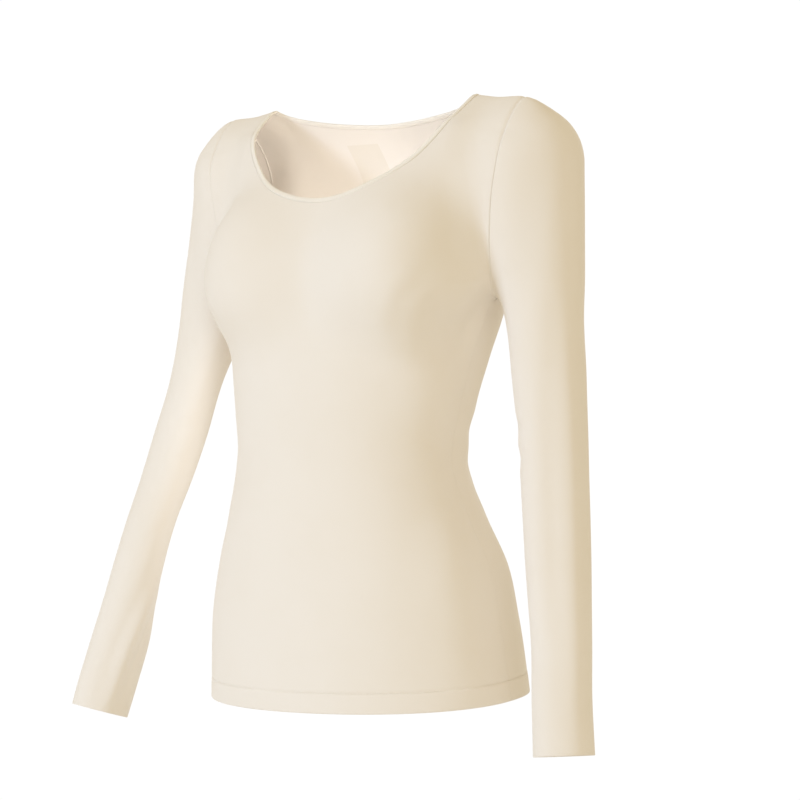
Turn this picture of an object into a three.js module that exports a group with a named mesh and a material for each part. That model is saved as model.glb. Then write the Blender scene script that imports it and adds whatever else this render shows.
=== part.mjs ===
// Long-sleeved knit base layer top in its hollow worn form. Millimetres, +Z up, the front faces -Y and the
// wearer's left is at +X. The origin is midway between the two neck points, at their level.
import * as THREE from 'three';

// Cloth and seams
const WALL = 1.2;                 // one layer of brushed knit
const HEM_TURN = 18;              // depth of the turned-up hem
const HEM_LAYER = 1.2;            // the turned-up layer, on the inside
const HEM_STEP = 1.5;             // height in which the turned-up layer ends
const SEAM_GAP = 0.3;             // between neighbouring pieces
const BINDING_WIDTH = 4;          // folded binding along the neckline
const BINDING_EXTRA = 0.5;        // how far the binding stands out on each face
const BINDING_EDGE = 0.3;         // the same at its outer edge
const CREAM = 0xeee5d4;
const CREAM_SHADED = 0xebe2d0;
const CREAM_BINDING = 0xf0e8d8;

// Rings of the body, from the shoulders down: sway is the ring's shift to +X
const TORSO = [
  { z: 40, sway: 0, halfWidth: 204, front: 58, back: 56 },
  { z: 0, sway: 0, halfWidth: 194, front: 60, back: 64 },
  { z: -50, sway: 0, halfWidth: 178, front: 69, back: 78 },
  { z: -100, sway: 0, halfWidth: 163, front: 85, back: 87 },
  { z: -150, sway: 0, halfWidth: 150, front: 101, back: 92 },
  { z: -200, sway: 0, halfWidth: 142, front: 105, back: 90 },
  { z: -250, sway: -6, halfWidth: 134, front: 107, back: 80 },
  { z: -300, sway: -7, halfWidth: 124, front: 109, back: 67 },
  { z: -350, sway: -7, halfWidth: 118, front: 111, back: 62 },
  { z: -400, sway: -4, halfWidth: 131, front: 117, back: 75 },
  { z: -450, sway: 0, halfWidth: 149, front: 122, back: 89 },
  { z: -500, sway: 0, halfWidth: 159, front: 124, back: 96 },
  { z: -550, sway: 1, halfWidth: 164, front: 124, back: 103 },
  { z: -600, sway: 2, halfWidth: 168, front: 123, back: 108 },
];
const FRONT_SQUARE = 2.15;        // roundness of the rings: 2 is an ellipse
const BACK_SQUARE = 2.35;

// Shoulders
const NECK_HALF = 120;            // neck point from the middle
const SHOULDER_HALF = 168;
const SHOULDER_SLOPE = 0.17;
const RIDGE_Y = 4;
const RIDGE_ROUND = 6;
const FRONT_FALL = 0.78;
const FRONT_FALL_TIP = 1.35;
const BACK_FALL = 1.1;
const BACK_FALL_TIP = 1.1;
const ROOF_BLEND = 26;

// Rounded fullness of the front's cut, one each side
const FULLNESS = { across: 77, depth: -62, z: -178, rx: 68, ry: 60, above: 86, below: 58, blend: 36 };

// Sleeve centre lines and sections: drop is measured down from SLEEVE_TOP
const SLEEVE_TOP = -68;
const CAP_HEIGHT = 54;
const SECTION_TURN = 40 * Math.PI / 180;
const SLEEVE_BLEND = 22;
const SLEEVE_LEFT = [
  { drop: 0, out: 176, forward: -14, wide: 50, narrow: 47 },
  { drop: 60, out: 182, forward: -12, wide: 46, narrow: 43 },
  { drop: 110, out: 189.5, forward: -8.5, wide: 41.5, narrow: 38.5 },
  { drop: 148, out: 196.5, forward: -5, wide: 36.3, narrow: 34 },
  { drop: 204, out: 204, forward: -1, wide: 34.4, narrow: 29 },
  { drop: 262, out: 211, forward: 3, wide: 32, narrow: 27 },
  { drop: 337, out: 219.5, forward: 11, wide: 30.9, narrow: 26 },
  { drop: 410, out: 228, forward: 19.5, wide: 28.9, narrow: 25.5 },
  { drop: 447, out: 232.5, forward: 24, wide: 27.6, narrow: 25.5 },
  { drop: 500, out: 238, forward: 32, wide: 27.3, narrow: 25.5 },
  { drop: 560, out: 245, forward: 39, wide: 28, narrow: 26 },
];
const SLEEVE_RIGHT = [
  { drop: 0, out: 176, forward: -14, wide: 50, narrow: 47 },
  { drop: 60, out: 184, forward: -10.5, wide: 46, narrow: 43 },
  { drop: 110, out: 192, forward: -4, wide: 41.5, narrow: 38.5 },
  { drop: 148, out: 200, forward: 0, wide: 37, narrow: 33.5 },
  { drop: 204, out: 212, forward: 12, wide: 33, narrow: 26.5 },
  { drop: 262, out: 222.5, forward: 26, wide: 32, narrow: 26.5 },
  { drop: 305, out: 230.5, forward: 38, wide: 31, narrow: 25.5 },
  { drop: 346, out: 238, forward: 52, wide: 30, narrow: 24.4 },
  { drop: 386, out: 243.4, forward: 64, wide: 29, narrow: 24.8 },
  { drop: 426, out: 247, forward: 75, wide: 28, narrow: 26.5 },
  { drop: 467, out: 251, forward: 86, wide: 26.5, narrow: 29 },
  { drop: 507, out: 257, forward: 97, wide: 25.5, narrow: 29.5 },
  { drop: 560, out: 264, forward: 111, wide: 25.5, narrow: 28.5 },
];
const CUFF_LEFT = 547;            // drop of the cuffs' edges
const CUFF_RIGHT = 535;

// Neckline, armholes and hem
const NECK_DROP_FRONT = -99.5;
const NECK_DROP_BACK = -19.5;
const NECK_POWER_FRONT = 1.9;     // fullness of the neckline's curve: 2 is an ellipse
const NECK_POWER_BACK = 1.6;
const NECK_LEAN_FRONT = 0.92;     // height taken by each millimetre of binding at the low points
const NECK_LEAN_BACK = 0.8;
const UNDERARM = { x: 150, y: -3, start: -120 };
const ARMHOLE_FRONT = [           // the armhole's distance from the middle, by height
  { z: -205, out: 150 },
  { z: -195, out: 155.5 },
  { z: -180, out: 158.5 },
  { z: -140, out: 161.5 },
  { z: -100, out: 165.5 },
  { z: -60, out: 172 },
  { z: -7, out: 175 },
];
const ARMHOLE_BACK = [
  { z: -205, out: 150 },
  { z: -190, out: 149 },
  { z: -165, out: 149.5 },
  { z: -140, out: 152.5 },
  { z: -100, out: 160 },
  { z: -60, out: 170 },
  { z: -7, out: 175 },
];
const ARMHOLE_EYE = { x: 158, y: 3, z: -105 };   // inner point of the sleeve head
const TIP_X = 175;
const HEM_LEVEL = -576;
const SIDE_LENGTH = 375;          // from the hem up to the underarm
const HEM_TILT_X = 0.025;
const HEM_TILT_Y = 0.06;

// Mesh density: columns on each shoulder strap and under the neckline, rows below and above the underarm
const STRAP_COLUMNS = 4;
const NECK_COLUMNS = 14;
const LOWER_ROWS = 14;
const ARMHOLE_ROWS = 12;
const SLEEVE_RINGS = 25;
const CAP_RINGS = 8;
const CAP_END = 165;              // drop at which the sleeve's rings lie square to it
const FINE_STEPS = 80;            // steps in which an armhole is followed before it is evenly spaced
const NECK_STEPS = 240;           // the same for a neckline
const NECK_STEP = 0.03;           // angle over which a neckline's direction is taken
const NECK_CLOSER = 0.9;          // 0 spaces a neckline's columns evenly, 1 like a circle seen from its side
const NECK_UNDER = 0.3;           // a neckline's ends lie this far under the shoulder's ridge
const STRAP_ANGLE = 40 * Math.PI / 180;
const ARMHOLE_LIFT = 45;          // straight ways to the cloth near the armholes start this much higher
const CHEST = { share: 0.8, y: 2, top: -75, blend: 40, low: -60 };   // where the straight ways start
const CORNER_DIP = 24;            // how far the row under the armholes dips between them

// Smooth curve through one column of a table
function along(rows, key, name, at) {
  const last = rows.length - 1;
  const sign = rows[last][key] > rows[0][key] ? 1 : -1;
  const x = rows.map((row) => row[key] * sign);
  const v = rows.map((row) => row[name]);
  const slope = [];
  for (let i = 0; i < last; i++) slope.push((v[i + 1] - v[i]) / (x[i + 1] - x[i]));
  const tangent = (i) => {
    if (i === 0) return key === 'drop' ? 0 : slope[0];
    if (i === last) return slope[last - 1];
    const before = x[i] - x[i - 1];
    const after = x[i + 1] - x[i];
    return (after * slope[i - 1] + before * slope[i]) / (after + before);
  };
  const s = Math.min(x[last], Math.max(x[0], at * sign));
  let i = 0;
  while (i < last - 1 && s > x[i + 1]) i++;
  const h = x[i + 1] - x[i];
  const t = (s - x[i]) / h;
  return (1 + 2 * t) * (1 - t) ** 2 * v[i] + t * (1 - t) ** 2 * h * tangent(i)
    + t * t * (3 - 2 * t) * v[i + 1] + t * t * (t - 1) * h * tangent(i + 1);
}

const clamp = (v, low, high) => Math.min(high, Math.max(low, v));
const smoothStep = (v, low, high) => {
  const t = clamp((v - low) / (high - low), 0, 1);
  return t * t * (3 - 2 * t);
};
const smoothMin = (a, b, k) => {
  const h = clamp(0.5 + 0.5 * (b - a) / k, 0, 1);
  return b + (a - b) * h - k * h * (1 - h);
};
const smoothMax = (a, b, k) => -smoothMin(-a, -b, k);
const mix = (a, b, t) => a.clone().lerp(b, t);
const vec = (x, y, z) => new THREE.Vector3(x, y, z);

const torsoAt = (z) => ({
  sway: along(TORSO, 'z', 'sway', z),
  halfWidth: along(TORSO, 'z', 'halfWidth', z),
  front: along(TORSO, 'z', 'front', z),
  back: along(TORSO, 'z', 'back', z),
});
const sleeveAt = (side, drop) => {
  const rows = side > 0 ? SLEEVE_LEFT : SLEEVE_RIGHT;
  return {
    out: along(rows, 'drop', 'out', drop),
    forward: along(rows, 'drop', 'forward', drop),
    wide: along(rows, 'drop', 'wide', drop),
    narrow: along(rows, 'drop', 'narrow', drop),
  };
};

// Distance above the shoulder ridge and its falls to front and back
function roofDistance(p) {
  const out = Math.abs(p.x);
  const tip = smoothStep(out, NECK_HALF, SHOULDER_HALF);
  const ridge = -SHOULDER_SLOPE * Math.max(0, out - NECK_HALF);
  const w = p.y - RIDGE_Y;
  const fall = w < 0
    ? FRONT_FALL + (FRONT_FALL_TIP - FRONT_FALL) * tip
    : BACK_FALL + (BACK_FALL_TIP - BACK_FALL) * tip;
  const drop = fall * (Math.hypot(w, RIDGE_ROUND) - RIDGE_ROUND);
  return (p.z - ridge + drop) / Math.hypot(1, fall);
}

function torsoDistance(p) {
  const ring = torsoAt(p.z);
  const depth = (ring.back + ring.front) / 2;
  const u = p.x - ring.sway;
  const v = p.y - (ring.back - ring.front) / 2;
  const n = v < 0 ? FRONT_SQUARE : BACK_SQUARE;
  const q = (Math.abs(u / ring.halfWidth) ** n + Math.abs(v / depth) ** n + 1e-4) ** (1 / n);
  let body = Math.hypot(u, v, 0.1) * (1 - 1 / q);
  body = smoothMax(body, roofDistance(p), ROOF_BLEND);
  for (const side of [-1, 1]) {
    const w = vec(p.x - side * FULLNESS.across, p.y - FULLNESS.depth, p.z - FULLNESS.z);
    const tall = w.z > 0 ? FULLNESS.above : FULLNESS.below;
    const reach = Math.hypot(w.x / FULLNESS.rx, w.y / FULLNESS.ry, w.z / tall, 0.001);
    body = smoothMin(body, (w.length() + 0.06) * (1 - 1 / reach), FULLNESS.blend);
  }
  return body;
}

function sleeveDistance(p, side) {
  const above = Math.max(0, p.z - SLEEVE_TOP);
  const ring = sleeveAt(side, Math.max(0, SLEEVE_TOP - p.z));
  const dx = side * p.x - ring.out;
  const dy = p.y + ring.forward;
  const u = dx * Math.cos(SECTION_TURN) + dy * Math.sin(SECTION_TURN);
  const v = dy * Math.cos(SECTION_TURN) - dx * Math.sin(SECTION_TURN);
  const q = Math.hypot(u / ring.wide, v / ring.narrow, above / CAP_HEIGHT, 0.001);
  return Math.hypot(u, v, above, 0.001 * ring.wide) * (1 - 1 / q);
}

// The whole form: negative inside the hollow
function formDistance(p) {
  let body = torsoDistance(p);
  for (const side of [-1, 1]) body = smoothMin(body, sleeveDistance(p, side), SLEEVE_BLEND);
  return body;
}

function formNormal(p) {
  const e = 0.5;
  const n = vec(
    formDistance(vec(p.x + e, p.y, p.z)) - formDistance(vec(p.x - e, p.y, p.z)),
    formDistance(vec(p.x, p.y + e, p.z)) - formDistance(vec(p.x, p.y - e, p.z)),
    formDistance(vec(p.x, p.y, p.z + e)) - formDistance(vec(p.x, p.y, p.z - e)),
  );
  return n.normalize();
}

// The place where a straight way from inside leaves the form
function leave(origin, toward, distance = formDistance) {
  const way = toward.clone().normalize();
  const p = origin.clone();
  for (let i = 0; i < 80; i++) {
    const d = distance(p);
    if (Math.abs(d) < 1e-5) break;
    p.addScaledVector(way, clamp(-d * 0.85, -6, 30));
  }
  return p;
}

// Even spacing along a run of points
function evenly(points, count) {
  const length = [0];
  for (let i = 1; i < points.length; i++) length.push(length[i - 1] + points[i].distanceTo(points[i - 1]));
  const out = [];
  let i = 0;
  for (let k = 0; k <= count; k++) {
    const at = length[length.length - 1] * k / count;
    while (i < points.length - 2 && length[i + 1] < at) i++;
    out.push(mix(points[i], points[i + 1], clamp((at - length[i]) / (length[i + 1] - length[i]), 0, 1)));
  }
  return out;
}

const up = vec(0, 0, 1);
const shoulderPoint = (x) => leave(vec(x, RIDGE_Y, CHEST.low), up);

// Armhole from the underarm up to the shoulder tip: face -1 is the front, 1 the back
function armhole(side, face) {
  const under = leave(vec(side * UNDERARM.x, UNDERARM.y, UNDERARM.start), vec(0, 0, -1));
  const tip = shoulderPoint(side * TIP_X);
  const at = (z) => {
    const climb = (z - under.z) / (tip.z - under.z);
    const x = side * along(face < 0 ? ARMHOLE_FRONT : ARMHOLE_BACK, 'z', 'out', z);
    return leave(vec(x, UNDERARM.y + (RIDGE_Y - UNDERARM.y) * climb, z), vec(0, face, 0));
  };
  const run = [];
  for (let i = 0; i <= FINE_STEPS; i++) {
    run.push(at(under.z + (tip.z - under.z) * (1 - Math.cos(Math.PI * i / FINE_STEPS)) / 2));
  }
  run[0] = under;
  run[FINE_STEPS] = tip;
  const points = evenly(run, ARMHOLE_ROWS);
  for (let i = 1; i < ARMHOLE_ROWS; i++) points[i] = at(points[i].z);
  return points;
}

// Neckline of one face from the neck point at +X round to the one at -X, grown outward over the cloth
function neckline(face, grown) {
  const power = face < 0 ? NECK_POWER_FRONT : NECK_POWER_BACK;
  const low = face < 0 ? NECK_DROP_FRONT : NECK_DROP_BACK;
  const lean = face < 0 ? NECK_LEAN_FRONT : NECK_LEAN_BACK;
  const end = shoulderPoint(NECK_HALF);
  const grownEnd = shoulderPoint(NECK_HALF + grown);
  const curve = (turn) => {
    const c = Math.cos(turn);
    const s = Math.sin(turn);
    const x = NECK_HALF * Math.sign(c) * Math.abs(c) ** (2 / power);
    const z = end.z + (low - end.z) * Math.abs(s) ** (2 / power);
    return { x, z };
  };
  // the curve grows square to itself
  const at = (turn, by) => {
    const before = curve(Math.max(0, turn - NECK_STEP));
    const after = curve(Math.min(Math.PI, turn + NECK_STEP));
    const size = Math.hypot(after.x - before.x, after.z - before.z);
    const here = curve(turn);
    const x = here.x - (after.z - before.z) / size * by;
    const z = here.z + (after.x - before.x) / size * by * lean;
    return leave(vec(x, RIDGE_Y, Math.min(z, grownEnd.z - NECK_UNDER)), vec(0, face, 0));
  };
  // the steps are taken on the neckline itself, closer at its ends, and the grown one uses the same angles
  const turns = [];
  const run = [];
  for (let i = 0; i <= NECK_STEPS; i++) {
    turns.push(Math.PI * i / NECK_STEPS);
    run.push(at(turns[i], 0));
  }
  const length = [0];
  for (let i = 1; i <= NECK_STEPS; i++) length.push(length[i - 1] + run[i].distanceTo(run[i - 1]));
  const points = [];
  let i = 0;
  for (let k = 0; k <= NECK_COLUMNS; k++) {
    const even = k / NECK_COLUMNS;
    const share = even + (0.5 - 0.5 * Math.cos(Math.PI * even) - even) * NECK_CLOSER;
    const goal = length[NECK_STEPS] * share;
    while (i < NECK_STEPS - 1 && length[i + 1] < goal) i++;
    const t = (goal - length[i]) / (length[i + 1] - length[i]);
    points.push(at(turns[i] + (turns[i + 1] - turns[i]) * t, grown));
  }
  points[0] = grownEnd;
  points[NECK_COLUMNS] = points[0].clone().multiply(vec(-1, 1, 1));
  return points;
}

// Front or back panel as rows of points, from the hem up to the shoulders and the neckline
function panelRows(face) {
  const left = armhole(1, face);
  const right = armhole(-1, face);
  const neck = neckline(face, BINDING_WIDTH + SEAM_GAP);
  const columns = 2 * STRAP_COLUMNS + NECK_COLUMNS;
  const top = [];
  for (let c = 0; c < STRAP_COLUMNS; c++) {
    top.push(shoulderPoint(left[ARMHOLE_ROWS].x + (neck[0].x - left[ARMHOLE_ROWS].x) * c / STRAP_COLUMNS));
  }
  top.push(...neck);
  for (let c = STRAP_COLUMNS - 1; c >= 0; c--) top.push(top[c].clone().multiply(vec(-1, 1, 1)));

  const angles = [];
  for (let c = 0; c <= columns; c++) {
    if (c <= STRAP_COLUMNS) angles.push(STRAP_ANGLE * c / STRAP_COLUMNS);
    else if (c < STRAP_COLUMNS + NECK_COLUMNS) {
      angles.push(STRAP_ANGLE + (Math.PI - 2 * STRAP_ANGLE) * (c - STRAP_COLUMNS) / NECK_COLUMNS);
    } else angles.push(Math.PI - STRAP_ANGLE * (columns - c) / STRAP_COLUMNS);
  }
  const underZ = (angle) => {
    const toRight = (1 - Math.cos(angle)) / 2;
    const fromSide = Math.min(angle, Math.PI - angle);
    return left[0].z + (right[0].z - left[0].z) * toRight - CORNER_DIP * smoothStep(fromSide, 0, STRAP_ANGLE);
  };

  const shares = [0, HEM_TURN / SIDE_LENGTH, (HEM_TURN + HEM_STEP) / SIDE_LENGTH];
  for (let r = 1; r <= LOWER_ROWS; r++) {
    const start = shares[2];
    shares.push(start + (1 - start) * r / LOWER_ROWS);
  }
  const rows = shares.map((share) => angles.map((angle) => {
    let z = (HEM_LEVEL + underZ(angle)) / 2;
    let ring = torsoAt(z);
    for (let i = 0; i < 4; i++) {
      ring = torsoAt(z);
      const x = ring.sway + ring.halfWidth * Math.cos(angle);
      const y = (ring.back - ring.front) / 2 + face * (ring.back + ring.front) / 2 * Math.sin(angle);
      z = (HEM_LEVEL + HEM_TILT_X * x + HEM_TILT_Y * y) * (1 - share) + underZ(angle) * share;
    }
    const middle = vec(ring.sway, (ring.back - ring.front) / 2, z);
    const depth = (ring.back + ring.front) / 2;
    return leave(middle, vec(ring.halfWidth * Math.cos(angle), face * depth * Math.sin(angle), 0));
  }));
  const base = rows[rows.length - 1];
  base[0] = left[0].clone();
  base[columns] = right[0].clone();

  const length = [0];
  for (let c = 1; c <= columns; c++) length.push(length[c - 1] + base[c].distanceTo(base[c - 1]));
  for (let r = 1; r <= ARMHOLE_ROWS; r++) {
    const climb = (run) => (run[r].z - run[0].z) / (run[ARMHOLE_ROWS].z - run[0].z);
    const t = 0.5 * r / ARMHOLE_ROWS + 0.25 * (climb(left) + climb(right));
    const row = base.map((p, c) => mix(p, top[c], t));
    const offLeft = left[r].clone().sub(row[0]);
    const offRight = right[r].clone().sub(row[columns]);
    rows.push(row.map((p, c) => {
      if (r === ARMHOLE_ROWS) return top[c];
      if (c === 0) return left[r];
      if (c === columns) return right[r];
      const u = length[c] / length[columns];
      const q = p.clone().addScaledVector(offLeft, (1 - u) ** 3).addScaledVector(offRight, u ** 3);
      const lift = ARMHOLE_LIFT * Math.max((1 - u) ** 3, u ** 3);
      const inner = vec(q.x * CHEST.share, CHEST.y, smoothMin(q.z, CHEST.top, CHEST.blend) + lift);
      return leave(inner, q.sub(inner));
    }));
  }
  rows[rows.length - 1][0] = left[ARMHOLE_ROWS];
  rows[rows.length - 1][columns] = right[ARMHOLE_ROWS];
  return rows;
}

// Ring of points round a sleeve, starting at the inner side and running by the front
function sleeveRing(side, drop, count) {
  const here = sleeveAt(side, drop);
  const above = sleeveAt(side, drop - 5);
  const below = sleeveAt(side, drop + 5);
  const centre = vec(side * here.out, -here.forward, SLEEVE_TOP - drop);
  const down = vec(side * (below.out - above.out), above.forward - below.forward, -10).normalize();
  const out = vec(side, 0, 0);
  out.addScaledVector(down, -out.dot(down)).normalize();
  const front = vec(0, -1, 0);
  front.addScaledVector(down, -front.dot(down)).addScaledVector(out, -front.dot(out)).normalize();
  const points = [];
  for (let i = 0; i < count; i++) {
    const turn = 2 * Math.PI * i / count;
    const way = out.clone().multiplyScalar(-Math.cos(turn)).addScaledVector(front, Math.sin(turn));
    points.push(leave(centre, way, (p) => sleeveDistance(p, side)));
  }
  return points;
}

function sleeveRows(side) {
  const front = armhole(side, -1);
  const back = armhole(side, 1);
  const loop = front.concat(back.slice(1, -1).reverse());
  const count = loop.length;
  const first = sleeveRing(side, CAP_END, count);
  const eye = vec(side * ARMHOLE_EYE.x, ARMHOLE_EYE.y, ARMHOLE_EYE.z);
  const end = sleeveAt(side, CAP_END);
  const far = vec(side * end.out, -end.forward, SLEEVE_TOP - CAP_END);
  const rows = [loop];
  for (let r = 1; r < CAP_RINGS; r++) {
    const t = r / CAP_RINGS;
    const inner = mix(eye, far, t);
    rows.push(loop.map((p, c) => {
      const q = mix(p, first[c], t);
      return leave(inner, q.sub(inner));
    }));
  }
  const cuff = side > 0 ? CUFF_LEFT : CUFF_RIGHT;
  const rest = SLEEVE_RINGS - CAP_RINGS;
  for (let r = 0; r <= rest; r++) rows.push(sleeveRing(side, CAP_END + (cuff - CAP_END) * r / rest, count));
  return rows;
}

// Closed wall between an outer and an inner grid of the same rows and columns
function wall(outer, inner, round) {
  const rows = outer.length;
  const columns = outer[0].length;
  const positions = [];
  for (const grid of [outer, inner]) {
    for (const row of grid) {
      for (const p of row) positions.push(p.x, p.y, p.z);
    }
  }
  const at = (layer, r, c) => layer * rows * columns + r * columns + c % columns;
  const faces = [];
  const quad = (a, b, c, d, other) => {
    if (other) faces.push([a, b, d], [b, c, d]);
    else faces.push([a, b, c], [a, c, d]);
  };
  const across = round ? columns : columns - 1;
  for (let r = 0; r < rows - 1; r++) {
    for (let c = 0; c < across; c++) {
      const next = (c + 1) % columns;
      const other = outer[r][next].distanceTo(outer[r + 1][c]) < outer[r][c].distanceTo(outer[r + 1][next]);
      quad(at(0, r, c), at(0, r, c + 1), at(0, r + 1, c + 1), at(0, r + 1, c), other);
      quad(at(1, r, c), at(1, r + 1, c), at(1, r + 1, c + 1), at(1, r, c + 1), other);
    }
  }
  const last = rows - 1;
  for (let c = 0; c < across; c++) {
    quad(at(0, 0, c), at(1, 0, c), at(1, 0, c + 1), at(0, 0, c + 1), false);
    quad(at(0, last, c), at(0, last, c + 1), at(1, last, c + 1), at(1, last, c), false);
  }
  if (!round) {
    const side = columns - 1;
    for (let r = 0; r < last; r++) {
      quad(at(0, r, 0), at(0, r + 1, 0), at(1, r + 1, 0), at(1, r, 0), false);
      quad(at(0, r, side), at(1, r, side), at(1, r + 1, side), at(0, r + 1, side), false);
    }
  }
  const point = (i) => vec(positions[3 * i], positions[3 * i + 1], positions[3 * i + 2]);
  let volume = 0;
  for (const [a, b, c] of faces) volume += point(a).dot(point(b).cross(point(c)));
  const index = [];
  for (const [a, b, c] of faces) {
    if (volume < 0) index.push(a, c, b);
    else index.push(a, b, c);
  }
  const geometry = new THREE.BufferGeometry();
  geometry.setAttribute('position', new THREE.Float32BufferAttribute(positions, 3));
  geometry.setIndex(index);
  geometry.computeVertexNormals();
  return geometry;
}

// Moves one edge point into its piece: each neighbouring edge line is drawn in by its own gap
function inset(p, inside, before, gapBefore, after, gapAfter) {
  const inward = (q) => {
    const line = q.clone().sub(p).normalize();
    const way = inside.clone().sub(p);
    return way.addScaledVector(line, -way.dot(line)).normalize();
  };
  const first = inward(before);
  const second = inward(after);
  const k = first.dot(second);
  if (1 - k * k < 0.05) {
    return first.add(second).setLength((gapBefore + gapAfter) / 2).add(p);
  }
  const a = (gapBefore - k * gapAfter) / (1 - k * k);
  const b = (gapAfter - k * gapBefore) / (1 - k * k);
  return p.clone().addScaledVector(first, a).addScaledVector(second, b);
}

// Draws a panel's edges in: sides and shoulders by half a seam gap, hem and neckline not at all
function insetPanel(rows) {
  const last = rows.length - 1;
  const side = rows[0].length - 1;
  const ring = [];
  for (let c = 0; c < side; c++) ring.push([0, c, 0]);
  for (let r = 0; r < last; r++) ring.push([r, side, SEAM_GAP / 2]);
  for (let c = side; c > 0; c--) {
    const neck = c > STRAP_COLUMNS && c <= STRAP_COLUMNS + NECK_COLUMNS;
    ring.push([last, c, neck ? 0 : SEAM_GAP / 2]);
  }
  for (let r = last; r > 0; r--) ring.push([r, 0, SEAM_GAP / 2]);
  const out = rows.map((row) => row.slice());
  const at = (i) => ring[(i + ring.length) % ring.length];
  ring.forEach(([r, c, gap], i) => {
    const [pr, pc, gapBefore] = at(i - 1);
    const [nr, nc] = at(i + 1);
    const inside = rows[clamp(r, 1, last - 1)][clamp(c, 1, side - 1)];
    out[r][c] = inset(rows[r][c], inside, rows[pr][pc], gapBefore, rows[nr][nc], gap);
  });
  return out;
}

function insetSleeve(rows) {
  const loop = rows[0];
  const n = loop.length;
  const gap = SEAM_GAP / 2;
  const first = loop.map((p, c) => inset(p, rows[1][c], loop[(c + n - 1) % n], gap, loop[(c + 1) % n], gap));
  return [first].concat(rows.slice(1));
}

function thicken(rows, outward, inward) {
  const normals = rows.map((row) => row.map(formNormal));
  const moved = (p, r, c, amount) => p.clone().addScaledVector(normals[r][c], amount);
  const shift = (amount) => rows.map((row, r) => row.map((p, c) => moved(p, r, c, amount(r))));
  return [shift(outward), shift((r) => -inward(r))];
}

const cloth = (color) => new THREE.MeshStandardMaterial({ color, roughness: 0.9, metalness: 0 });

function panel(face) {
  const rows = insetPanel(panelRows(face));
  const hemRow = (r) => (r <= 1 ? HEM_LAYER : 0);
  const [outer, inner] = thicken(rows, () => WALL / 2, (r) => WALL / 2 + hemRow(r));
  return wall(outer, inner, false);
}

function sleeve(side) {
  const rows = insetSleeve(sleeveRows(side));
  const [outer, inner] = thicken(rows, () => WALL / 2, () => WALL / 2);
  return wall(outer, inner, true);
}

// Folded binding: a ring of cloth that covers the neckline's edge
function binding() {
  const ring = (grown) => neckline(-1, grown).concat(neckline(1, grown).slice(1, -1).reverse());
  const rows = [ring(0), ring(BINDING_WIDTH / 2), ring(BINDING_WIDTH)];
  const stand = (r) => WALL / 2 + (r === 2 ? BINDING_EDGE : BINDING_EXTRA);
  const [outer, inner] = thicken(rows, stand, stand);
  return wall(outer, inner, true);
}

const top = new THREE.Group();
top.name = 'thermal_base_layer_top';
const add = (name, geometry, color) => {
  const mesh = new THREE.Mesh(geometry, cloth(color));
  mesh.name = name;
  top.add(mesh);
};
add('front', panel(-1), CREAM);
add('back', panel(1), CREAM_SHADED);
add('sleeve_left', sleeve(1), CREAM);
add('sleeve_right', sleeve(-1), CREAM);
add('neck_binding', binding(), CREAM_BINDING);

export default top;
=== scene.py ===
import math

import bpy
import numpy as np
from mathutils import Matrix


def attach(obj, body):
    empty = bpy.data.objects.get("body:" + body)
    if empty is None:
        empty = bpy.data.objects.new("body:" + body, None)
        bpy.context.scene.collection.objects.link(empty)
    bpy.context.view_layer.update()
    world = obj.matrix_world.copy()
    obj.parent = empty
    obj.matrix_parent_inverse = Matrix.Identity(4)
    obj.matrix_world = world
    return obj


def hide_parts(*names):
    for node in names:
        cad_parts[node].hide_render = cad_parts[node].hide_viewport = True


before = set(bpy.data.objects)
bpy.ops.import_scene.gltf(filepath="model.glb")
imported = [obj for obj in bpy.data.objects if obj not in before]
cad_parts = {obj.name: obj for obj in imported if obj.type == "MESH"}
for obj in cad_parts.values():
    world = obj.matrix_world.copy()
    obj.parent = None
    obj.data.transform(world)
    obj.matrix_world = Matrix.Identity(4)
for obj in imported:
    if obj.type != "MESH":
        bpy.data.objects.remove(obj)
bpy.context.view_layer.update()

# The knit base layer top in its hollow worn form. The form is worked out in millimetres and made in metres:
# +Z is up, the front faces -Y and the wearer's left is at +X.
MM = 0.001

# Camera at the photograph's viewing angle
VIEW_TURN = math.radians(35)
VIEW_DISTANCE = 2400
VIEW_HEIGHT = -291
VIEW_ASIDE = 28.4
VIEW_WIDTH = 784.3                 # width of the picture at the middle of the top

# Cloth and sewing
WALL = 1.2
HEM_TURN = 18
HEM_LAYER = 1.2
HEM_STEP = 1.5
SEAM_GAP = 0.3
SEWN_GAP = 0.04                    # the sewing draws the edges of two panels this close
SEAM_WIDTH = 1.7
SIDE_SEAM_DEPTH = 0.10             # how far the cloth is drawn in at each seam
ARMHOLE_SEAM_DEPTH = 0.05
SHOULDER_SEAM_DEPTH = 0.25
TIP_SEAM_EXTRA = 1.0               # the armhole seam is deeper at the shoulder tip, between these heights
TIP_SEAM_LOW = -78
TIP_SEAM_HIGH = -40
BINDING_WIDTH = 4
BINDING_STAND = 0.4
BINDING_ROLL = 0.25                 # the binding is this much thicker at its upper edge
BINDING_ROWS = 7
HEM_STAND = 0.35                   # the doubled hem stands out this much
HEM_GROOVE = 0.55                  # the hem's stitching draws the cloth in
HEM_GROOVE_WIDTH = 1.3
SEAM_QUIET = 22                     # creases fade out within this distance of a seam
HEM_SEWING = {"pitch": 3.1, "thread": 0.30, "lift": 0.28, "rows": 30}
NECK_SEWING = {"pitch": 2.6, "thread": 0.22, "from_edge": 0.9, "points": 200}
STITCH_SHARE = 0.84                 # length of a stitch as a share of the pitch
STITCH_RINGS = 7
STITCH_AROUND = 8

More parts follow.
